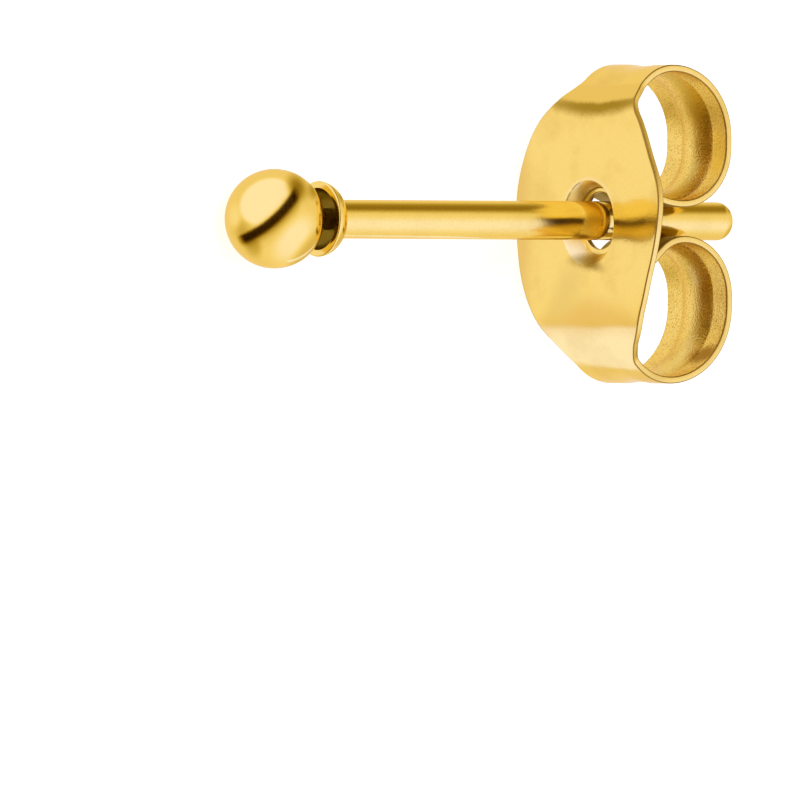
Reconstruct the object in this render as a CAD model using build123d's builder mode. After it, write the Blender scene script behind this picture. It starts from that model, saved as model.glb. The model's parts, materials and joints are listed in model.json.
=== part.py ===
# A ball stud earring lying on its side: a ball on a cupped post, and the butterfly clutch that holds it in the ear.
# Millimetres, +Z up, the floor at Z 0. The post runs from the ball towards +X and rises a little, because
# the stud rests on the ball and on the lowest edge of the clutch's plate.
from build123d import *
from math import asin, atan2, cos, degrees, hypot, radians, sin
import os

# Ball, with a blind hole for the peg
ball_radius = 1.0
peg_radius = 0.22
peg_reach = 0.70  # how far the peg goes into the ball
peg_gap = 0.02

# Post, cup and peg, one soldered piece. Lengths along it are from the centre of the ball.
post_length = 11.27
post_radius = 0.39
post_tip_radius = 0.385
taper_start = 7.60  # the stretch that sits in the ear ends here
tip_round = 0.30
cup_radius = 0.765
cup_wall = 0.09
cup_round = 0.45  # radius of the rounded corner at the back of the cup
cup_round_centre = 1.03
cup_rim = 1.08

# Clutch, one strip of sheet whose wide middle is the plate
sheet = 0.14
plate_front = 7.80
plate_half_height = 2.43
plate_half_length = 2.92
plate_shift = 0.04  # how far the oval sits towards the lower wing
strip_width = 2.0
neck_round = 0.5  # where the plate narrows to the strip
hole_radius = 0.575
hole_land = 0.08  # length of the hole's wall, less than the sheet because the dimple stretches it
dimple_radius = 1.0
dimple_bend = 0.30
dimple_angle = 50.0
groove_width = 1.0
groove_depth = 0.13
groove_start_depth = 0.02

# How the strip bends, from the middle of the plate to each end, as stretches laid end to end.
# Columns: straight run, radius of the bend after it, degrees of that bend.
# The shoulder is plain. The groove that clears the post deepens along the crown and is full along the tail.
upper_wing = {
    "way": 1,
    "shoulder": [(1.00, 6.00, 12.5), (0.00, 0.40, 37.0), (0.56, 0.00, 0.0)],
    "crown": [(0.00, 1.05, 40.5), (0.00, 1.45, 90.0)],
    "tail": [(0.225, 1.18, 90.0), (0.00, 1.80, 35.0)],
}
lower_wing = {
    "way": -1,
    "shoulder": [(1.00, 9.00, 6.5), (0.00, 1.50, 34.5)],
    "crown": [(0.00, 1.22, 49.0), (0.00, 1.53, 90.0)],
    "tail": [(0.24, 1.19, 90.0), (0.00, 0.85, 45.0), (0.30, 0.00, 0.0)],
}

# The rise of the post, from a floor that touches the ball and the lowest edge of the plate
to_plate_edge = hypot(plate_front, plate_half_height)
rise = atan2(plate_half_height, plate_front) - asin(ball_radius / to_plate_edge)
ball_x = (ball_radius - post_length * cos(rise)) / 2

# The stud's own plane: x along the post, y towards the upper wing, z away from the floor
stud = Plane(
    origin=(ball_x, 0, ball_radius),
    x_dir=(cos(rise), 0, sin(rise)),
    z_dir=(-sin(rise), 0, cos(rise)),
)
post_axis = Axis(stud.origin, stud.x_dir)

# A plane across the post at the front of the plate: x towards the upper wing, y away from the floor
plate_centre = stud.from_local_coords((plate_front, 0, 0))
across = Plane(origin=plate_centre, x_dir=stud.y_dir, z_dir=stud.x_dir)


# Lays stretches end to end in the stud's plane. Returns them, where they end and their direction there.
def lay(start, heading, stretches, way):
    with BuildLine() as line:
        end = Vector(*start)
        for straight, radius, turn in stretches:
            if straight:
                run = Line(end, end + heading * straight)
                end = run @ 1
            if radius:
                bend = JernArc(end, heading, radius, -way * turn)
                end = bend @ 1
                heading = bend % 1
    return line.line, end, heading


# The strip cut square to its path, with the groove pressed into the loop by depth
def grooved_section(start, heading, depth, way):
    here = Plane(origin=start, x_dir=(0, 0, way), z_dir=heading)
    groove = groove_width / 2
    edge = strip_width / 2
    with BuildSketch(Plane(stud.location * here.location)) as section:
        with BuildLine():
            ThreePointArc((-groove, 0), (0, depth), (groove, 0))
            Polyline((groove, 0), (edge, 0), (edge, sheet), (groove, sheet))
            ThreePointArc((groove, sheet), (0, sheet + depth), (-groove, sheet))
            Polyline((-groove, sheet), (-edge, sheet), (-edge, 0), (-groove, 0))
        make_face()
    return section.sketch


with BuildPart() as ball:
    socket_radius = peg_radius + peg_gap
    socket_floor = ball_radius - peg_reach - peg_gap
    socket_mouth = (ball_radius**2 - socket_radius**2) ** 0.5
    with BuildSketch(stud):
        with BuildLine():
            ThreePointArc((-ball_radius, 0), (0, ball_radius), (socket_mouth, socket_radius))
            Polyline((socket_mouth, socket_radius), (socket_floor, socket_radius), (socket_floor, 0), (-ball_radius, 0))
        make_face()
    revolve(axis=post_axis)

ball.part.label = "ball"

with BuildPart() as post:
    peg_end = ball_radius - peg_reach
    round_radius = cup_radius - cup_round  # the circle that the rounded corner is centred on
    inner_round = cup_round - cup_wall
    cup_floor = cup_round_centre + inner_round
    cup_back = cup_round_centre + (cup_round**2 - (post_radius - round_radius) ** 2) ** 0.5
    rim_drop = cup_rim - cup_round_centre
    rim_outside = round_radius + (cup_round**2 - rim_drop**2) ** 0.5
    rim_inside = round_radius + (inner_round**2 - rim_drop**2) ** 0.5
    lip = (rim_outside - rim_inside) / 2
    tip_start = post_length - tip_round
    with BuildSketch(stud):
        with BuildLine():
            Polyline((peg_end, 0), (peg_end, peg_radius), (cup_floor, peg_radius), (cup_floor, round_radius))
            RadiusArc((cup_floor, round_radius), (cup_rim, rim_inside), -inner_round)
            ThreePointArc((cup_rim, rim_inside), (cup_rim - lip, rim_inside + lip), (cup_rim, rim_outside))
            RadiusArc((cup_rim, rim_outside), (cup_back, post_radius), cup_round)
            Polyline((cup_back, post_radius), (taper_start, post_radius), (tip_start, post_tip_radius))
            JernArc((tip_start, post_tip_radius), (1, 0), tip_round, -90)
            Polyline((post_length, post_tip_radius - tip_round), (post_length, 0), (peg_end, 0))
        make_face()
    revolve(axis=post_axis)

post.part.label = "post"

shoulders = []
curls = []
for wing in (upper_wing, lower_wing):
    way = wing["way"]
    shoulder, neck, neck_heading = lay((plate_front, 0), Vector(0, way), wing["shoulder"], way)
    crown, rear, rear_heading = lay(neck, neck_heading, wing["crown"], way)
    tail, _, _ = lay(rear, rear_heading, wing["tail"], way)
    shallow = grooved_section(neck, neck_heading, groove_start_depth, way)
    deep = grooved_section(rear, rear_heading, groove_depth, way)
    shoulders.append((shoulder, Side.RIGHT if way == 1 else Side.LEFT))
    curls.append((stud.from_local_coords(crown), [shallow, deep]))
    curls.append((stud.from_local_coords(tail), [deep]))

with BuildPart() as butterfly_clutch:
    # The plate and both shoulders, first as a wide bent sheet
    for shoulder, inner_side in shoulders:
        with BuildSketch(stud):
            with BuildLine():
                add(shoulder)
                offset(amount=sheet, side=inner_side)
            make_face()
        extrude(amount=plate_half_height, both=True)
    # Its outline, an oval that narrows to the strip
    with BuildSketch(across) as outline:
        with Locations((-plate_shift, 0)):
            Ellipse(plate_half_length, plate_half_height)
        Rectangle(4 * plate_half_length, strip_width)
        fillet(outline.vertices(), neck_round)
    extrude(amount=strip_width, mode=Mode.INTERSECT)
    # The dimple, a dished ring that thins towards the hole
    with BuildSketch(across):
        Circle(dimple_radius)
    extrude(amount=sheet, mode=Mode.SUBTRACT)
    bend_end = dimple_radius - dimple_bend * sin(radians(dimple_angle))
    dimple_run = (bend_end - hole_radius) / cos(radians(dimple_angle))
    dished = [(0.0, dimple_bend, dimple_angle), (dimple_run, 0.0, 0.0)]
    dimple, hole_edge, _ = lay((plate_front, dimple_radius), Vector(0, -1), dished, -1)
    with BuildSketch(stud):
        with BuildLine():
            add(dimple)
            Polyline(hole_edge, hole_edge + Vector(hole_land, 0), (plate_front + sheet, dimple_radius),
                     (plate_front, dimple_radius))
        make_face()
    revolve(axis=post_axis)
    # The rest of each wing, curled round to the post
    for path, sections in curls:
        sweep(sections=sections, path=Wire(path.edges()), multisection=len(sections) > 1)

butterfly_clutch.part.label = "butterfly_clutch"

os.makedirs("parts", exist_ok=True)
export_step(ball.part, "parts/ball.step")
export_step(post.part, "parts/post.step")
export_step(butterfly_clutch.part, "parts/butterfly_clutch.step")

print("rise of the post in degrees", round(degrees(rise), 2), "and the ball's centre at X", round(ball_x, 3))
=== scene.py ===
import json
from math import acos, asin, atan, ceil, copysign, cos, degrees, hypot, pi, radians, sin, sqrt

import bmesh
import bpy
from mathutils import Matrix, Vector, noise


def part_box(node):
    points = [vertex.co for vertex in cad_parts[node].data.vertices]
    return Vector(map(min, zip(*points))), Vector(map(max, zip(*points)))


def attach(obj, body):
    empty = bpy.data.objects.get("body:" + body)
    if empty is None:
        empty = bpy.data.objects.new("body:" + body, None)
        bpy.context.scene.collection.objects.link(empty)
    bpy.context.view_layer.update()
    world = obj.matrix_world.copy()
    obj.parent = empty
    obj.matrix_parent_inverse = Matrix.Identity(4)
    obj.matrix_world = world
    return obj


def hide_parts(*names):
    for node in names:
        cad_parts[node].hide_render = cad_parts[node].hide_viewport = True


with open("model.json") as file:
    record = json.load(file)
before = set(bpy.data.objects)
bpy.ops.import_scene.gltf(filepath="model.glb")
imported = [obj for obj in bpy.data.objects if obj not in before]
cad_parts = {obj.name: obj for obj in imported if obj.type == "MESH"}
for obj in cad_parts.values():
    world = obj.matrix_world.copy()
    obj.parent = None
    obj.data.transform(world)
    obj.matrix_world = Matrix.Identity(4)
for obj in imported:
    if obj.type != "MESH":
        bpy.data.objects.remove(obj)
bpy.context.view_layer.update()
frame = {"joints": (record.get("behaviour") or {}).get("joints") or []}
millimetre = 0.001
print("frame loaded")

# The stud's axes: x along the post, y towards the upper wing, z away from the floor
ballLow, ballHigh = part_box("ball")
ballReach = (ballHigh.y - ballLow.y) / 2  # metres
ballRadius = ballReach / millimetre
ballCentre = Vector((ballLow.x + ballReach, 0, ballLow.z + ballReach))
alongPost = Vector(frame["joints"][0]["axis"])
towardsWing = Vector((0, 1, 0))
awayFromFloor = alongPost.cross(towardsWing)
studAxes = Matrix((alongPost, towardsWing, awayFromFloor)).transposed().to_4x4()
studPlace = Matrix.Translation(ballCentre) @ studAxes @ Matrix.Scale(millimetre, 4)


# Draws a wire from one point as straight runs and round bends. Turns to the left are positive.
def drawWire(bm, start, heading, stretches, stepDegrees=6):
    tip = bm.verts.new((start[0], start[1], 0))
    for run, radius, turn in stretches:
        ahead = Vector((cos(radians(heading)), sin(radians(heading)), 0))
        if run:
            tip = bmesh.ops.extrude_vert_indiv(bm, verts=[tip])["verts"][0]
            tip.co += ahead * run
        if radius:
            left = Vector((-ahead.y, ahead.x, 0))
            centre = tip.co + left * copysign(radius, turn)
            spun = bmesh.ops.spin(bm, geom=[tip], cent=centre, axis=(0, 0, 1), angle=radians(turn),
                                  steps=ceil(abs(turn) / stepDegrees))
            tip = [v for v in spun["geom_last"] if isinstance(v, bmesh.types.BMVert)][0]
        heading += turn


smoothTurn = 40  # degrees between two faces, past which their edge shows as an edge


# Turns a bmesh on the stud's axes into a piece that stands for a CAD node and rides on its body
def finishPiece(bm, name, node, body, materials):
    bmesh.ops.transform(bm, matrix=studPlace, verts=bm.verts)
    for face in bm.faces:
        face.smooth = True
    for edge in bm.edges:
        edge.smooth = edge.calc_face_angle(0) < radians(smoothTurn)
    mesh = bpy.data.meshes.new(name)
    bm.to_mesh(mesh)
    bm.free()
    for material in materials:
        mesh.materials.append(material)
    piece = bpy.data.objects.new(name, mesh)
    bpy.context.collection.objects.link(piece)
    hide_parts(node)
    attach(piece, body)
    print(name, "made with", len(mesh.polygons), "faces")


# Turns an sRGB colour to linear
def fromHex(code):
    parts = [int(code[i:i + 2], 16) / 255 for i in (1, 3, 5)]
    return [p / 12.92 if p <= 0.04045 else ((p + 0.055) / 1.055) ** 2.4 for p in parts] + [1.0]


# Adds a node with its settings and its inputs, each a value or another node's output
def addNode(tree, kind, settings=None, inputs=None):
    node = tree.nodes.new(kind)
    for key, value in (settings or {}).items():
        setattr(node, key, value)
    for key, value in (inputs or {}).items():
        if isinstance(value, bpy.types.NodeSocket):
            tree.links.new(value, node.inputs[key])
        else:
            node.inputs[key].default_value = value
    return node


def newMaterial(name):
    material = bpy.data.materials.new(name)
    material.use_nodes = True
    tree = material.node_tree
    tree.nodes.clear()
    return material, tree


# A soft-edged ellipse, or a rectangle if the patch is square: 1 inside, 0 outside
def patchMask(tree, place, patch):
    middle = (patch["centre"][0], patch["centre"][1], 0)
    local = addNode(tree, "ShaderNodeMapping", {"vector_type": "TEXTURE"}, {
        "Vector": place, "Location": middle, "Rotation": (0, 0, radians(patch.get("turn", 0))),
        "Scale": (patch["half"][0], patch["half"][1], 1)})
    if patch.get("square"):
        size = addNode(tree, "ShaderNodeVectorMath", {"operation": "ABSOLUTE"}, {0: local.outputs[0]})
        sides = addNode(tree, "ShaderNodeSeparateXYZ", None, {0: size.outputs[0]})
        reach = addNode(tree, "ShaderNodeMath", {"operation": "MAXIMUM"}, {
            0: sides.outputs[0], 1: sides.outputs[1]})
    else:
        reach = addNode(tree, "ShaderNodeVectorMath", {"operation": "LENGTH"}, {0: local.outputs[0]})
    return addNode(tree, "ShaderNodeMapRange", {"interpolation_type": "SMOOTHSTEP"}, {
        "Value": reach.outputs["Value"], "From Min": 1 - patch["edge"], "From Max": 1 + patch["edge"],
        "To Min": 1.0, "To Max": 0.0}).outputs["Result"]


# Materials. Each finish has its roughness and how far that wanders, the size and height of its grain, how
# much of the deep colour shows in clouds and specks, and how far the grain frays the edges of its marks.
gold = {
    "colour": "#f8dc6f",
    "grazing": "#fdf3d3",  # how much of the white glint at a grazing angle is left
    "dishHighlight": "#ffe98e",  # painted light: a lighter gold on the dish round the hole
    "deep": "#c9a23a",  # the colour where the coating is thickest
    # painted shade: a darker gold on the rounded edges of the sheet's border
    "corner": "#a8822e",
    # painted shade: a darker gold on the back of the plate and the wall of its hole
    "plateBackShade": "#c8a850",
    # painted shade: a dark gold in the cup's hollow, on the peg, round the hole at the back of the plate and
    # on the strip's ends by the post
    "recessShadeColour": "#86701a",
    "polished": {  # a mirror with a slight haze
        "rough": 0.12, "wander": 0.05, "grain": 0.05, "height": 0.0004, "cloudy": 0.08, "speck": 0.05},
    "drawn": {  # wire: a mirror that smears what it shows a little
        "rough": 0.15, "wander": 0.06, "grain": 0.05, "height": 0.0008, "cloudy": 0.12, "speck": 0.12},
    "pressed": {  # rolled sheet with cloudy stains from the press
        "rough": 0.15, "wander": 0.08, "grain": 0.05, "height": 0.0010, "cloudy": 0.24, "speck": 0.10,
        "stray": 0.06},
    "dished": {  # sheet that lost its shine where the punch stretched it
        "rough": 0.34, "wander": 0.06, "grain": 0.05, "height": 0.0010, "cloudy": 0.10, "speck": 0.15,
        "stray": 0.10},
    "satin": {  # the unpolished inner face of the sheet, visibly grainy
        "rough": 0.26, "wander": 0.06, "grain": 0.036, "height": 0.010, "cloudy": 0.30, "speck": 1.0,
        "stray": 0.40},
    "sheared": {  # cut edges and places the polish doesn't reach: dull and soft
        "rough": 0.36, "wander": 0.10, "grain": 0.04, "height": 0.003, "cloudy": 0.20, "speck": 0.20},
    "cloud": 0.9,  # mm between the smoother and rougher places
    "sway": 0.14,  # mm that the marks of painted shade stray over that distance
    "cloudDetail": 3.0,
    "grainDetail": 2.0,
    # Levels of the noise between which the roughness wanders, the clouds deepen and the specks deepen
    "wanderSpan": (0.25, 0.75),
    "cloudSpan": (0.48, 0.70),
    "speckSpan": (0.50, 0.75),
    "noiseMiddle": (0.5, 0.5, 0.5),  # where nothing strays
}


# Titanium nitride, or TiN, on steel: a hard gold-coloured coating that shows the polish, drawing or pressing
# under it. The real grain is a hundredth of a millimetre or less, too fine to show, so it is drawn coarser.
# Marks are painted shade that lies at places of the flat sheet, given by its "blank" attribute in
# millimetres.
def makeGold(name, finish, colour, marks=()):
    material, tree = newMaterial(name)
    place = addNode(tree, "ShaderNodeTexCoord").outputs["Object"]
    cloud = addNode(tree, "ShaderNodeTexNoise", None, {
        "Vector": place, "Scale": 1 / (gold["cloud"] * millimetre), "Detail": gold["cloudDetail"]})
    low, high = gold["wanderSpan"]
    rough = addNode(tree, "ShaderNodeMapRange", None, {
        "Value": cloud.outputs["Fac"], "From Min": low, "From Max": high,
        "To Min": finish["rough"] - finish["wander"] / 2, "To Max": finish["rough"] + finish["wander"] / 2})
    grain = addNode(tree, "ShaderNodeTexNoise", None, {
        "Vector": place, "Scale": 1 / (finish["grain"] * millimetre), "Detail": gold["grainDetail"]})
    bump = addNode(tree, "ShaderNodeBump", None, {
        "Strength": 1.0, "Distance": finish["height"] * millimetre, "Height": grain.outputs["Fac"]})
    low, high = gold["cloudSpan"]
    clouds = addNode(tree, "ShaderNodeMapRange", None, {
        "Value": cloud.outputs["Fac"], "From Min": low, "From Max": high, "To Max": finish["cloudy"]})
    low, high = gold["speckSpan"]
    specks = addNode(tree, "ShaderNodeMapRange", None, {
        "Value": grain.outputs["Fac"], "From Min": low, "From Max": high, "To Max": finish["speck"]})
    deepness = addNode(tree, "ShaderNodeMath", {"operation": "ADD"}, {
        0: clouds.outputs["Result"], 1: specks.outputs["Result"]})
    shade = addNode(tree, "ShaderNodeMix", {"data_type": "RGBA"}, {
        0: deepness.outputs[0], 6: fromHex(colour), 7: fromHex(gold["deep"])}).outputs[2]
    if marks:
        blank = addNode(tree, "ShaderNodeAttribute", {"attribute_name": "blank"}).outputs["Vector"]
        stray = addNode(tree, "ShaderNodeVectorMath", {"operation": "SUBTRACT"}, {
            0: cloud.outputs["Color"], 1: gold["noiseMiddle"]})
        speck = addNode(tree, "ShaderNodeVectorMath", {"operation": "SUBTRACT"}, {
            0: grain.outputs["Color"], 1: gold["noiseMiddle"]})
        swayed = addNode(tree, "ShaderNodeVectorMath", {"operation": "MULTIPLY_ADD"}, {
            0: stray.outputs[0], 1: (gold["sway"], gold["sway"], 0), 2: blank})
        spot = addNode(tree, "ShaderNodeVectorMath", {"operation": "MULTIPLY_ADD"}, {
            0: speck.outputs[0], 1: (finish["stray"], finish["stray"], 0), 2: swayed.outputs[0]}).outputs[0]
        # Each mark paints shade over the colour
        for mark in marks:
            shade = addNode(tree, "ShaderNodeMix", {"data_type": "RGBA"}, {
                0: patchMask(tree, spot, mark), 6: shade, 7: fromHex(mark["colour"])}).outputs[2]
    shader = addNode(tree, "ShaderNodeBsdfPrincipled", None, {
        "Base Color": shade, "Metallic": 1.0, "Roughness": rough.outputs["Result"],
        "Specular Tint": fromHex(gold["grazing"]), "Normal": bump.outputs["Normal"]})
    addNode(tree, "ShaderNodeOutputMaterial", None, {"Surface": shader.outputs["BSDF"]})
    return material


# Where shade is painted on the flat sheet: x along the strip, y across it, both from the middle of the plate
pressedShadeMarks = [
    # painted shade: the dark band along the upper fold and the fainter one just past it
    {"centre": (2.17, 0.1), "half": (0.15, 1.8), "turn": -1, "edge": 0.75, "colour": "#a88822"},
    {"centre": (2.53, 0.1), "half": (0.26, 2.4), "turn": -1, "edge": 0.24, "colour": "#f0d264"},
    # painted shade: a soft darker band across the lower part of the plate
    {"centre": (-1.83, 0.0), "half": (0.26, 1.9), "edge": 0.9, "colour": "#ecc85e"},
    # painted shade: the dark smudge on the dish below the hole
    {"centre": (-0.83, -0.06), "half": (0.13, 0.46), "turn": 8, "edge": 0.7, "colour": "#8c6a14"},
    # painted shade: a darker band along the far edge of the plate, for the mirrored contact shadow
    {"centre": (-0.3, -2.30), "half": (1.3, 0.30), "edge": 0.9, "colour": "#e8c660"},
    # painted shade: a soft darker patch below the dish, on the far side
    {"centre": (-1.35, -0.75), "half": (0.35, 0.60), "turn": -40, "edge": 0.9, "colour": "#ecd068"},
]
# Painted shade on the inner faces of the loops, mostly along the near side of the groove's ridge
satinShadeMarks = [
    {"centre": (6.2, 0.26), "half": (2.7, 0.19), "edge": 0.5, "colour": "#dcbe50"},
    {"centre": (6.4, 0.75), "half": (0.55, 0.30), "edge": 0.5, "colour": "#ecc545"},
    {"centre": (-5.6, 0.24), "half": (1.7, 0.20), "edge": 0.5, "colour": "#f2da74"},
    {"centre": (-7.4, 0.30), "half": (1.0, 0.14), "edge": 0.6, "colour": "#c29c34"},
    {"centre": (-5.15, 0.72), "half": (0.25, 0.36), "edge": 0.5, "colour": "#a87e20"},
]
polishedGold = makeGold("tinCoatedSteelPolished", gold["polished"], gold["colour"])
drawnGold = makeGold("tinCoatedSteelDrawn", gold["drawn"], gold["colour"])
# The unpolished recesses carry painted shade
recessShadeGold = makeGold("tinCoatedSteelUnpolishedShaded", gold["sheared"], gold["recessShadeColour"])
pressedGold = makeGold("tinCoatedSheetPressed", gold["pressed"], gold["colour"], pressedShadeMarks)
# The dish carries painted light
dishedHighlightGold = makeGold("tinCoatedSheetDrawnHighlight", gold["dished"], gold["dishHighlight"], pressedShadeMarks)
satinGold = makeGold("tinCoatedSheetSatin", gold["satin"], gold["colour"], satinShadeMarks)
shearedGold = makeGold("tinCoatedSheetSheared", gold["sheared"], gold["colour"])
# The rounded border edges carry painted shade
cornerGold = makeGold("tinCoatedSheetCornerShade", gold["sheared"], gold["corner"])
# The back of the plate carries painted shade
backShadeGold = makeGold("tinCoatedSheetBackShade", gold["sheared"], gold["plateBackShade"])
print("materials made")

# The ball
ball = {
    "around": 128,
    "rings": 78,
    "socketRings": 6,  # rings of the sphere inside the mouth of the peg's hole
    "socketDepth": 0.72,  # from the sphere's surface to the end of the hole
}


def makeBall():
    bm = bmesh.new()
    bmesh.ops.create_uvsphere(bm, u_segments=ball["around"], v_segments=ball["rings"], radius=ballRadius)
    bmesh.ops.rotate(bm, verts=bm.verts, matrix=Matrix.Rotation(pi / 2, 3, "Y"))
    mouthAngle = pi * (ball["socketRings"] + 0.5) / ball["rings"]
    cap = [f for f in bm.faces if min(v.co.x for v in f.verts) > ballRadius * cos(mouthAngle)]
    sunk = bmesh.ops.extrude_face_region(bm, geom=cap)["geom"]
    for vert in sunk:
        if isinstance(vert, bmesh.types.BMVert):
            vert.co.x = ballRadius - ball["socketDepth"]
    bmesh.ops.delete(bm, geom=cap, context="FACES")
    finishPiece(bm, "polishedBall", "ball", "stud", [polishedGold])


makeBall()

# The post
post = {
    "around": 128,
    "length": 11.27,
    "radius": 0.39,
    "tipRadius": 0.385,
    "taperStart": 7.60,
    "tipRound": 0.30,
    "pegEnd": 0.30,  # from the middle of the ball, as are the other places along the post
    "pegRadius": 0.22,
    "pegRound": 0.03,
    "cupRadius": 0.765,
    "cupWall": 0.14,
    "cupRound": 0.45,
    "cupRoundCentre": 1.03,
    "cupRim": 1.08,
    "lipInnerRound": 0.008,
    "lipOuterRound": 0.03,
    "lipStep": 15,  # degrees between the edges that round the lip
    "joinWithin": 0.002,  # ends of the outline's lengths that are this close are one point
    "mergeWithin": 0.0005,  # and so are points of the turned surface
    "near": 0.01,  # how close to the cup's surfaces a face's middle is
}


def makePost():
    outerRound = post["cupRound"]
    innerRound = outerRound - post["cupWall"]
    roundRadius = post["cupRadius"] - outerRound
    cupFloor = post["cupRoundCentre"] + innerRound
    rimDrop = post["cupRim"] - post["cupRoundCentre"]
    inner, outer = post["lipInnerRound"], post["lipOuterRound"]
    outerDrop = rimDrop + outer - inner
    rimOutside = roundRadius + sqrt(outerRound**2 - outerDrop**2)
    rimInside = roundRadius + sqrt(innerRound**2 - rimDrop**2)
    rise = post["radius"] - roundRadius
    cupBack = post["cupRoundCentre"] + sqrt(outerRound**2 - rise**2)
    innerTurn = 90 - degrees(asin(rimDrop / innerRound))
    outerTurn = degrees(acos(outerDrop / outerRound) - asin(rise / outerRound))
    lip = rimOutside - rimInside
    pegRun = post["pegRadius"] - post["pegRound"]
    pegShoulder = post["pegEnd"] + post["pegRound"]
    drop = post["tipRadius"] - post["radius"]
    bodyRun = post["length"] - post["tipRound"] - post["taperStart"]

    # The outline from the end of the peg to the tip, drawn in lengths that meet
    bm = bmesh.new()
    drawWire(bm, (post["pegEnd"], 0), 90, [(pegRun, post["pegRound"], -90)])
    drawWire(bm, (pegShoulder, post["pegRadius"]), 0,
             [(cupFloor - pegShoulder, 0, 90), (roundRadius - post["pegRadius"], innerRound, innerTurn)])
    drawWire(bm, (post["cupRim"], rimInside), 180,
             [(0, inner, -90), (lip - inner - outer, outer, -90)], post["lipStep"])
    drawWire(bm, (post["cupRoundCentre"] + outerDrop, rimOutside), -degrees(asin(outerDrop / outerRound)),
             [(0, outerRound, -outerTurn)])
    drawWire(bm, (cupBack, post["radius"]), 0, [(post["taperStart"] - cupBack, 0, 0)])
    drawWire(bm, (post["taperStart"], post["radius"]), degrees(atan(drop / bodyRun)),
             [(hypot(drop, bodyRun), 0, 0)])
    drawWire(bm, (post["length"] - post["tipRound"], post["tipRadius"]), 0,
             [(0, post["tipRound"], -90), (post["tipRadius"] - post["tipRound"], 0, 0)])
    bmesh.ops.remove_doubles(bm, verts=bm.verts, dist=post["joinWithin"])
    bmesh.ops.spin(bm, geom=bm.verts[:] + bm.edges[:], cent=(0, 0, 0), axis=(1, 0, 0), angle=2 * pi,
                   steps=post["around"], use_merge=True)
    bmesh.ops.remove_doubles(bm, verts=bm.verts, dist=post["mergeWithin"])
    bmesh.ops.recalc_face_normals(bm, faces=bm.faces)

    # The hollow of the cup and the peg stay unpolished, and are painted dark as shade
    materials = [drawnGold, recessShadeGold]
    for face in bm.faces:
        middle = face.calc_center_median()
        reach = hypot(middle.y, middle.z)
        beforeFloor = middle.x < cupFloor + post["near"]
        inCup = beforeFloor and middle.x > post["cupRim"] and reach < rimInside and face.normal.x < 0
        onPeg = beforeFloor and reach < post["pegRadius"] + post["near"]
        if inCup or onPeg:
            face.material_index = materials.index(recessShadeGold)
    finishPiece(bm, "cuppedPost", "post", "stud", materials)


makePost()

# The clutch
clutch = {
    "sheet": 0.14,
    "plateFront": 7.80,
    "plateHalfHeight": 2.43,
    "plateHalfLength": 2.92,
    "plateShift": 0.04,
    "stripHalfWidth": 1.0,
    "neckEase": 0.55,
    "nearNeckEase": 0.44,
    # How far the plate's near edge lies inside the oval, and the heights over which that starts and ends
    "nearTrims": [(0.25, (0.9, -1.2), (-2.7, -1.7)), (0.20, (0.3, 1.9), (2.7, 2.1))],
    "farTrim": (0.07, (1.3, 2.2)),  # and the far edge, the same above and below
    "holeRadius": 0.575,
    "holeRound": 0.02,
    "holeLand": 0.08,  # length of the hole's wall
    "dishFloor": 0.67,  # radius of the flat lip round the hole, at the bottom of the dish
    "dishRadius": 0.87,
    "dishSag": 0.06,  # the dish reaches this much further below the hole, and as much less above it
    "dishDepth": 0.30,
    "dishPower": 1.3,  # 1 gives the dish a straight wall, and more rounds its upper edge
    "dishSpare": 0.01,  # by which its stretched surface reaches past it
    "grooveHalfWidth": 0.5,
    "grooveDepth": 0.13,
    "grooveStart": 2.8,  # along the strip, from the middle of the plate
    "groovePower": 1.6,  # rounds the far edge of the groove
    "shoulderEnd": 3.1,  # where the plate has narrowed to the strip
    "edgeRound": 0.022,
    "roundSegments": 3,
    "foldSag": 0.12,  # the folds come this much sooner in the middle of the plate than at its edges
    "foldSagHalfWidth": 1.3,
    "foldSagZone": [(1.2, 2.2), (3.4, 2.5)],  # distances over which that starts and ends
    "foldCurve": 0.13,  # per mm, how the painted shade at the folds curves with the distance from the middle of the sheet
    "waveHeight": 0.020,
    "waveLength": 1.1,
    "waveEnd": (3.9, 3.1),  # distances over which the waves die out at the ends of the plate
    "backEnd": 2.6,  # the back of the plate, painted darker as shade, ends this far from its middle
    "darkBack": 1.5,  # and within this radius of the hole it takes the recess's painted shade, darkest of all
    "darkEnd": 1.6,  # length of the strip's ends, close to the post, that are painted dark as shade as well
    "bendEase": 0.10,  # half the length over which one bend passes into the next
    "bendShares": (-1.0, -0.5, 0.0, 0.5, 1.0),  # of that half, where the route is averaged
    "rowSpacing": 0.05,
    "columns": 40,
    "patchHalf": 1.35,
    "patchRings": [(0.92, 8), (0.67, 16), (0.575, 5)],  # radius to which each lot of rings closes in
    "mouthReach": 0.1,  # faces this close to the hole's edge belong to its wall
    "mouthEdge": 0.045,  # and edges this close are the hole's own
    "mouthEdgeLength": 0.08,  # the longest they are
    "sharpTurn": 60,  # degrees of an edge that is rounded
}
# Columns: straight run, radius of the bend after it, degrees of that bend
upperWing = [(1.00, 6.00, 12.5), (0.00, 0.40, 37.0), (0.56, 1.05, 40.5), (0.00, 1.45, 90.0),
             (0.225, 1.18, 90.0), (0.00, 1.80, 35.0)]
lowerWing = [(1.00, 9.00, 6.5), (0.00, 1.50, 34.5), (0.00, 1.22, 49.0), (0.00, 1.53, 90.0),
             (0.24, 1.19, 90.0), (0.00, 0.85, 45.0), (0.30, 0.00, 0.0)]


def wingLength(wing):
    return sum(run + radius * radians(turn) for run, radius, turn in wing)


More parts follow.
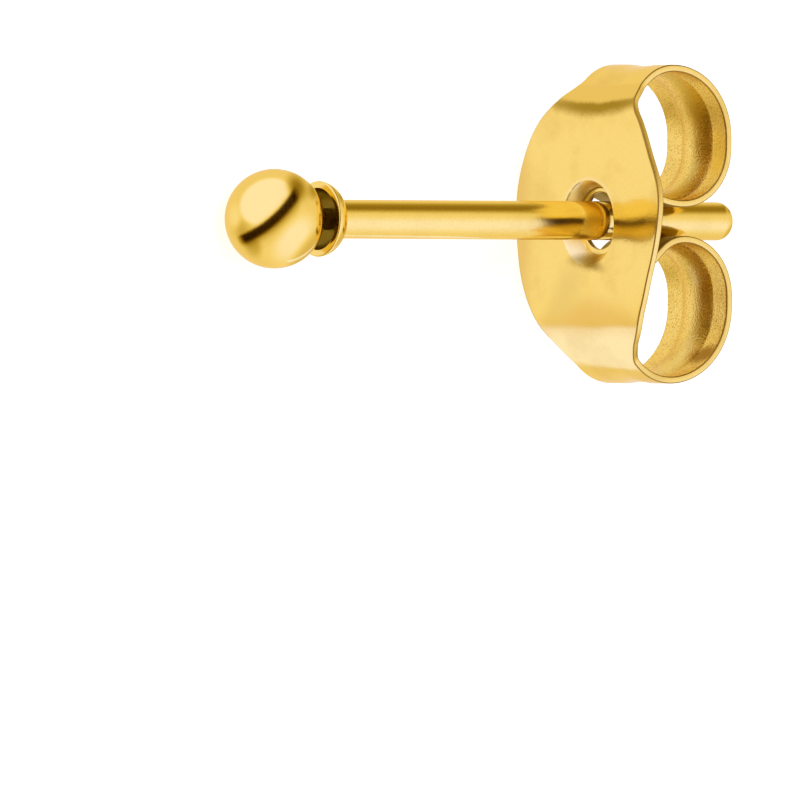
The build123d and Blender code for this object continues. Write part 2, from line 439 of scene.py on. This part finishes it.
# Where the outer face of the strip is at a distance from the middle of the plate, and the way it faces
def alongStrip(distance):
    wing = upperWing if distance >= 0 else lowerWing
    way = 1 if distance >= 0 else -1
    left = abs(distance)
    x, y, heading = clutch["plateFront"], 0.0, pi / 2
    for run, radius, turn in wing:
        step = min(left, run)
        x += step * cos(heading)
        y += step * sin(heading)
        left -= step
        if radius and left > 0:
            angle = min(left / radius, radians(turn))
            x += radius * (sin(heading) - sin(heading - angle))
            y += radius * (cos(heading - angle) - cos(heading))
            heading -= angle
            left -= radius * angle
    x += left * cos(heading)
    y += left * sin(heading)
    return Vector((x, way * y, 0)), Vector((-sin(heading), way * cos(heading), 0))


# The same with each bend easing into the next
def easedStrip(distance):
    place, facing = Vector(), Vector()
    for share in clutch["bendShares"]:
        point, normal = alongStrip(distance + share * clutch["bendEase"])
        place += point / len(clutch["bendShares"])
        facing += normal
    return place, facing.normalized()


def smoothStep(low, high, value):
    share = min(max((value - low) / (high - low), 0.0), 1.0)
    return share * share * (3 - 2 * share)


# Half the width of the plate at a height: an oval that narrows to the strip and isn't quite even
def outline(height, near):
    share = (height + clutch["plateShift"]) / clutch["plateHalfLength"]
    oval = clutch["plateHalfHeight"] * sqrt(max(0.0, 1 - share**2))
    strip = clutch["stripHalfWidth"]
    if near:
        ease = clutch["nearNeckEase"]
        for trim, starts, ends in clutch["nearTrims"]:
            oval -= trim * smoothStep(*starts, height) * smoothStep(*ends, height)
    else:
        ease = clutch["neckEase"]
        trim, starts = clutch["farTrim"]
        oval -= trim * smoothStep(*starts, abs(height))
    return max(oval, strip) + max(ease - abs(oval - strip), 0.0) ** 2 / (4 * ease)


# How far along each wing its groove is at its full depth
crownEnd = {1: wingLength(upperWing[:4]), -1: wingLength(lowerWing[:4])}


# How far a point of the blank is pressed in: the dish, the groove for the post and the plate's slight waves
def pressedIn(distance, across):
    reach = hypot(distance, across)
    edge = clutch["dishRadius"] - clutch["dishSag"] * distance / reach
    share = (edge - reach) / (edge - clutch["dishFloor"])
    dish = clutch["dishDepth"] * min(max(share, 0.0), 1.0) ** clutch["dishPower"]
    way = 1 if distance >= 0 else -1
    share = smoothStep(clutch["grooveStart"], crownEnd[way], abs(distance))
    bend = max(1 - (across / clutch["grooveHalfWidth"]) ** 2, 0.0)
    groove = clutch["grooveDepth"] * share * (bend if across > 0 else bend ** clutch["groovePower"])
    wavy = smoothStep(*clutch["waveEnd"], abs(distance))
    wave = wavy * noise.noise(Vector((distance, across, 0)) / clutch["waveLength"])
    return dish + groove + clutch["waveHeight"] * wave


# The folds at the ends of the plate are curved, so there the route runs ahead in the middle of the sheet
def routeDistance(distance, across):
    starts, ends = clutch["foldSagZone"]
    near = smoothStep(*starts, abs(distance)) * smoothStep(*ends, abs(distance))
    ahead = clutch["foldSag"] * near * (1 - (across / clutch["foldSagHalfWidth"]) ** 2)
    return distance + copysign(ahead, distance)


# The clutch's materials in the order of its slots
pressed, dished, satin, back, corner, sheared, recessShade = range(7)


# Gives a sheet its thickness behind its outer face. The new inner faces are satin and its edges sheared.
def thicken(bm, thickness):
    outward = bm.verts.layers.float_vector.new("outward")
    bm.normal_update()
    for vert in bm.verts:
        vert[outward] = vert.normal
        if vert.is_boundary and vert.co.yz.length < clutch["holeRadius"] + clutch["mouthReach"]:
            vert[outward] = Vector((-clutch["holeLand"] / thickness, 0, 0))
    outer = set(bm.faces)
    made = bmesh.ops.extrude_face_region(bm, geom=bm.faces[:], use_keep_orig=True)["geom"]
    for face in set(bm.faces) - outer:
        face.material_index = sheared
    for part in made:
        if isinstance(part, bmesh.types.BMVert):
            part.co -= part[outward] * thickness
        elif isinstance(part, bmesh.types.BMFace):
            part.material_index = satin
    bm.verts.layers.float_vector.remove(outward)
    bmesh.ops.recalc_face_normals(bm, faces=bm.faces)


def makeClutch():
    # The flat blank, with x along the strip and y across it
    low, high = -wingLength(lowerWing), wingLength(upperWing)
    rows = round((high - low) / clutch["rowSpacing"])
    bm = bmesh.new()
    bmesh.ops.create_grid(bm, x_segments=rows, y_segments=clutch["columns"], size=0.5)
    for vert in bm.verts:
        vert.co = (low + (vert.co.x + 0.5) * (high - low), 2 * vert.co.y * clutch["plateHalfHeight"], 0)
    middles = [(f, f.calc_center_median()) for f in bm.faces]
    patch = [f for f, middle in middles if max(abs(middle.x), abs(middle.y)) < clutch["patchHalf"]]
    for vert in bm.verts:
        height = easedStrip(vert.co.x)[0].y
        onPlate = abs(vert.co.x) < clutch["shoulderEnd"]
        width = outline(height, vert.co.y > 0) if onPlate else clutch["stripHalfWidth"]
        vert.co.y *= width / clutch["plateHalfHeight"]

    # A square patch round the middle gives way to rings that close in on the hole
    rim = {e for f in patch for e in f.edges if sum(n in patch for n in e.link_faces) == 1}
    bmesh.ops.delete(bm, geom=patch, context="FACES")
    rim = [e for e in rim if e.is_valid]
    for end, rings in clutch["patchRings"]:
        for ring in range(rings, 0, -1):
            fresh = bmesh.ops.extrude_edge_only(bm, edges=rim)["geom"]
            rim = [e for e in fresh if isinstance(e, bmesh.types.BMEdge) and e.is_boundary]
            for vert in [v for v in fresh if isinstance(v, bmesh.types.BMVert)]:
                reach = vert.co.length
                vert.co *= (reach + (end - reach) / ring) / reach
    bmesh.ops.recalc_face_normals(bm, faces=bm.faces)
    if bm.faces[0].normal.z > 0:
        bmesh.ops.reverse_faces(bm, faces=bm.faces)  # bending the blank mirrors it

    # The blank is bent to its route
    blank = bm.verts.layers.float_vector.new("blank")
    for vert in bm.verts:
        distance, across = vert.co.x, vert.co.y
        vert[blank] = (distance - copysign(clutch["foldCurve"] * across**2, distance), across, 0)
        place, facing = easedStrip(routeDistance(distance, across))
        vert.co = place - facing * pressedIn(distance, across) + Vector((0, 0, across))
    thicken(bm, clutch["sheet"])

    # The parts of the sheet with a look of their own, with painted shade on the back of the plate, round the
    # hole and on the strip's ends
    mouthRadius = clutch["holeRadius"] + clutch["mouthReach"]
    spare = clutch["dishSpare"]
    for face in bm.faces:
        places = [v[blank] for v in face.verts]
        if face.material_index == sheared and face.calc_center_median().yz.length < mouthRadius:
            face.material_index = back
        elif face.material_index == satin and all(abs(place.x) < clutch["backEnd"] for place in places):
            face.material_index = back
            if all(place.xy.length < clutch["darkBack"] for place in places):
                face.material_index = recessShade
        elif face.material_index == pressed:
            reaches = [place.xy.length for place in places]
            if min(reaches) > clutch["dishFloor"] - spare and max(reaches) < clutch["dishRadius"] + spare:
                face.material_index = dished
            if min(place.x for place in places) > high - clutch["darkEnd"]:
                face.material_index = recessShade
            if max(place.x for place in places) < low + clutch["darkEnd"]:
                face.material_index = recessShade

    # Every edge is rounded, more at the border of the sheet than at the mouth of the hole
    sharpTurn = radians(clutch["sharpTurn"])
    sharp = [e for e in bm.edges if len(e.link_faces) == 2 and e.calc_face_angle() > sharpTurn]
    mouthEdge = clutch["holeRadius"] + clutch["mouthEdge"]
    mouth = [e for e in sharp if max(v.co.yz.length for v in e.verts) < mouthEdge]
    mouth = [e for e in mouth if e.calc_length() < clutch["mouthEdgeLength"]]
    border = [e for e in sharp if e not in set(mouth)]
    # The rounds at the border take the colour with painted shade
    for edges, width, material in ((border, clutch["edgeRound"], corner), (mouth, clutch["holeRound"], -1)):
        bmesh.ops.bevel(bm, geom=edges, offset=width, offset_type="OFFSET", profile=0.5, affect="EDGES",
                        segments=clutch["roundSegments"], clamp_overlap=False, material=material)
    finishPiece(bm, "butterflyClutch", "butterfly_clutch", "clutch",
                [pressedGold, dishedHighlightGold, satinGold, backShadeGold, cornerGold, shearedGold, recessShadeGold])


makeClutch()

# Camera
cameraSettings = {
    "turn": 36.5,  # degrees between the view and the way across the post
    "roll": 0.35,
    "frameWidth": 16.0,
    "distance": 100.0,
    "aimRight": 2.534,  # from the middle of the ball
    "aimUp": -3.611,
    "clip": (0.01, 5.0),  # metres
}


def makeCamera():
    turn = radians(cameraSettings["turn"])
    right = alongPost * cos(turn) + awayFromFloor * sin(turn)
    back = awayFromFloor * cos(turn) - alongPost * sin(turn)
    up = back.cross(right)
    aim = ballCentre + (right * cameraSettings["aimRight"] + up * cameraSettings["aimUp"]) * millimetre
    stand = aim + back * cameraSettings["distance"] * millimetre
    camera = bpy.data.cameras.new("camera")
    camera.type = "ORTHO"
    camera.ortho_scale = cameraSettings["frameWidth"] * millimetre
    camera.clip_start, camera.clip_end = cameraSettings["clip"]
    holder = bpy.data.objects.new("camera", camera)
    rolled = Matrix.Rotation(radians(cameraSettings["roll"]), 3, back)
    axes = rolled @ Matrix((right, up, back)).transposed()
    holder.matrix_world = Matrix.Translation(stand) @ axes.to_4x4()
    bpy.context.collection.objects.link(holder)
    bpy.context.scene.camera = holder
    return right, up, back


cameraRight, cameraUp, cameraBack = makeCamera()

# Floor, light and surroundings
floor = {
    "colour": "#ffffff",
    "halfSize": 0.5,  # metres
    "glow": 0.62,  # added for the camera only, so that the floor is as white as the world behind it
}


def makeFloor():
    bm = bmesh.new()
    bmesh.ops.create_grid(bm, x_segments=1, y_segments=1, size=floor["halfSize"])
    mesh = bpy.data.meshes.new("floor")
    bm.to_mesh(mesh)
    bm.free()
    material, tree = newMaterial("whiteCard")
    rays = addNode(tree, "ShaderNodeLightPath")
    paper = addNode(tree, "ShaderNodeBsdfDiffuse", None, {"Color": fromHex(floor["colour"])})
    glow = addNode(tree, "ShaderNodeEmission", None, {"Color": (1, 1, 1, 1), "Strength": floor["glow"]})
    both = addNode(tree, "ShaderNodeAddShader", None, {0: paper.outputs[0], 1: glow.outputs[0]})
    shown = addNode(tree, "ShaderNodeMixShader", None, {
        0: rays.outputs["Is Camera Ray"], 1: paper.outputs[0], 2: both.outputs[0]})
    addNode(tree, "ShaderNodeOutputMaterial", None, {"Surface": shown.outputs[0]})
    mesh.materials.append(material)
    obj = bpy.data.objects.new("floor", mesh)
    bpy.context.collection.objects.link(obj)
    obj.visible_glossy = False


makeFloor()

# Red, green and blue of the studio's light at a tone: a gain, and the powers of the tone below and above 1
warmth = [(1.0, 1.0, 0.4), (0.89, 1.26, 1.05), (0.95, 2.9, 4.3)]

# The floor itself doesn't show in the gold, so a card lying under it stands for what the gold mirrors of it
lowerCard = {
    "centre": (1.24, -5.48),
    "half": (2.6, 2.4),
    "turn": 23,
    "below": 0.01,  # under the floor, through which only mirrored light passes
    "tone": 1.27,
    "edge": 0.08,
}


def makeLowerCard():
    bm = bmesh.new()
    bmesh.ops.create_grid(bm, x_segments=1, y_segments=1, size=1.0 + lowerCard["edge"])
    mesh = bpy.data.meshes.new("lowerCard")
    bm.to_mesh(mesh)
    bm.free()
    material, tree = newMaterial("lowerCard")
    place = addNode(tree, "ShaderNodeTexCoord").outputs["Object"]
    wholeCard = {"centre": (0, 0), "half": (1, 1), "edge": lowerCard["edge"], "square": True}
    mask = patchMask(tree, place, wholeCard)
    dimmed, brightened = min(lowerCard["tone"], 1.0), max(lowerCard["tone"], 1.0)
    light = [gain * dimmed**dim * brightened**bright for gain, dim, bright in warmth] + [1.0]
    shown = addNode(tree, "ShaderNodeEmission", None, {"Color": light, "Strength": 1.0})
    clear = addNode(tree, "ShaderNodeBsdfTransparent")
    both = addNode(tree, "ShaderNodeMixShader", None, {0: mask, 1: clear.outputs[0], 2: shown.outputs[0]})
    addNode(tree, "ShaderNodeOutputMaterial", None, {"Surface": both.outputs[0]})
    mesh.materials.append(material)
    obj = bpy.data.objects.new("lowerCard", mesh)
    bpy.context.collection.objects.link(obj)
    obj.location = Vector((*lowerCard["centre"], -lowerCard["below"])) * millimetre
    obj.rotation_euler.z = radians(lowerCard["turn"])
    obj.scale = (lowerCard["half"][0] * millimetre, lowerCard["half"][1] * millimetre, 1)
    obj.visible_camera = False
    obj.visible_diffuse = False
    obj.visible_shadow = False
    obj.visible_transmission = False


# The surroundings are laid out as a mirror ball in place of the stud would show them: u to the right, v up
tent = {
    "tone": 0.95,
    "patches": [
        {"centre": (0.06, -0.16), "half": (0.62, 0.66), "edge": 0.25, "tone": 1.00},
        {"centre": (-0.65, -0.22), "half": (0.14, 0.15), "edge": 0.9, "tone": 0.69},
        {"centre": (-0.80, 0.05), "half": (0.10, 0.22), "edge": 0.7, "tone": 1.07},
        {"centre": (-0.42, -0.56), "half": (0.14, 0.20), "turn": 25, "edge": 0.6, "tone": 0.69},
        {"centre": (-0.16, 0.34), "half": (0.56, 0.44), "turn": 30, "edge": 0.09, "tone": 1.22},
        {"centre": (0.40, -0.40), "half": (0.50, 0.28), "turn": 52, "edge": 0.5, "tone": 1.22},
        {"centre": (0.83, -0.74), "half": (0.90, 0.33), "turn": 52, "edge": 0.35, "tone": 0.78},
        {"centre": (0.45, 0.63), "half": (0.15, 0.22), "turn": 25, "edge": 0.8, "tone": 0.33},
        {"centre": (0.80, 0.58), "half": (0.12, 0.16), "edge": 0.8, "tone": 0.50},
    ],
    # The dark gap between the two bright ones, on an arc round a centre, and where along the arc it shows
    "gapCentre": (-1.50, 1.66, 0),
    "gapLimit": {"centre": (-0.10, 0.03), "half": (0.76, 0.50), "turn": 50, "edge": 0.12},
    # Columns: distance from that centre, share of the light that is left there
    "gapProfile": [(2.05, 1.00), (2.10, 0.97), (2.14, 0.78), (2.168, 0.18), (2.19, 0.03), (2.305, 0.025),
                   (2.345, 0.20), (2.375, 0.50), (2.42, 0.70), (2.49, 0.90), (2.63, 1.00)],
    "plain": 0.55,  # the even light on what isn't a mirror
}


def makeSurroundings():
    world = bpy.data.worlds.new("studio")
    bpy.context.scene.world = world
    world.use_nodes = True
    world.cycles.sampling_method = "NONE"
    tree = world.node_tree
    tree.nodes.clear()
    away = addNode(tree, "ShaderNodeTexCoord").outputs["Generated"]
    halfWay = addNode(tree, "ShaderNodeVectorMath", {"operation": "ADD"}, {0: away, 1: cameraBack})
    facing = addNode(tree, "ShaderNodeVectorMath", {"operation": "NORMALIZE"}, {0: halfWay.outputs[0]})
    u = addNode(tree, "ShaderNodeVectorMath", {"operation": "DOT_PRODUCT"}, {
        0: facing.outputs[0], 1: cameraRight}).outputs["Value"]
    v = addNode(tree, "ShaderNodeVectorMath", {"operation": "DOT_PRODUCT"}, {
        0: facing.outputs[0], 1: cameraUp}).outputs["Value"]
    place = addNode(tree, "ShaderNodeCombineXYZ", None, {0: u, 1: v}).outputs[0]

    tone = tent["tone"]
    for patch in tent["patches"]:
        tone = addNode(tree, "ShaderNodeMix", None, {
            0: patchMask(tree, place, patch), 2: tone, 3: patch["tone"]}).outputs[0]

    profile = tent["gapProfile"]
    near, far = profile[0][0], profile[-1][0]
    reach = addNode(tree, "ShaderNodeVectorMath", {"operation": "DISTANCE"}, {
        0: place, 1: tent["gapCentre"]})
    across = addNode(tree, "ShaderNodeMapRange", None, {
        "Value": reach.outputs["Value"], "From Min": near, "From Max": far})
    ramp = addNode(tree, "ShaderNodeValToRGB", None, {0: across.outputs[0]})
    for distance, _ in profile[1:-1]:
        ramp.color_ramp.elements.new((distance - near) / (far - near))
    for element, (_, level) in zip(ramp.color_ramp.elements, profile):
        element.color = (level, level, level, 1)
    kept = addNode(tree, "ShaderNodeMix", None, {
        0: patchMask(tree, place, tent["gapLimit"]), 2: 1.0, 3: ramp.outputs[0]}).outputs[0]
    tone = addNode(tree, "ShaderNodeMath", {"operation": "MULTIPLY"}, {0: tone, 1: kept}).outputs[0]

    # The dimmer the light, the warmer it is
    channels = []
    dimmed = addNode(tree, "ShaderNodeMath", {"operation": "MINIMUM"}, {0: tone, 1: 1.0}).outputs[0]
    brightened = addNode(tree, "ShaderNodeMath", {"operation": "MAXIMUM"}, {0: tone, 1: 1.0}).outputs[0]
    for gain, dim, bright in warmth:
        lower = addNode(tree, "ShaderNodeMath", {"operation": "POWER"}, {0: dimmed, 1: dim})
        upper = addNode(tree, "ShaderNodeMath", {"operation": "POWER"}, {0: brightened, 1: bright})
        both = addNode(tree, "ShaderNodeMath", {"operation": "MULTIPLY"}, {
            0: lower.outputs[0], 1: upper.outputs[0]})
        gained = addNode(tree, "ShaderNodeMath", {"operation": "MULTIPLY"}, {0: both.outputs[0], 1: gain})
        channels.append(gained.outputs[0])
    colour = addNode(tree, "ShaderNodeCombineColor", None, dict(enumerate(channels)))
    rays = addNode(tree, "ShaderNodeLightPath")
    studio = addNode(tree, "ShaderNodeBackground", None, {"Color": colour.outputs[0], "Strength": 1.0})
    plain = addNode(tree, "ShaderNodeBackground", None, {"Color": (1, 1, 1, 1), "Strength": tent["plain"]})
    white = addNode(tree, "ShaderNodeBackground", None, {"Color": (1, 1, 1, 1), "Strength": 1.0})
    mirrored = addNode(tree, "ShaderNodeMixShader", None, {
        0: rays.outputs["Is Glossy Ray"], 1: plain.outputs[0], 2: studio.outputs[0]})
    shown = addNode(tree, "ShaderNodeMixShader", None, {
        0: rays.outputs["Is Camera Ray"], 1: mirrored.outputs[0], 2: white.outputs[0]})
    addNode(tree, "ShaderNodeOutputWorld", None, {"Surface": shown.outputs[0]})


makeSurroundings()
makeLowerCard()

# The lamp lights the floor alone, where the stud's soft shadow falls
lamp = {
    "power": 0.02,  # watts
    "size": 60.0,
    "away": 120.0,
    "towards": (-0.3, 0.35, 1.0),
}


def makeLamp():
    light = bpy.data.lights.new("softbox", "AREA")
    light.shape = "SQUARE"
    light.size = lamp["size"] * millimetre
    light.energy = lamp["power"]
    holder = bpy.data.objects.new("softbox", light)
    holder.location = Vector(lamp["towards"]).normalized() * lamp["away"] * millimetre
    holder.rotation_euler = (-holder.location).to_track_quat("-Z", "Y").to_euler()
    holder.visible_glossy = False
    bpy.context.collection.objects.link(holder)


makeLamp()
bpy.context.scene.view_settings.view_transform = "Standard"
print("stage made")
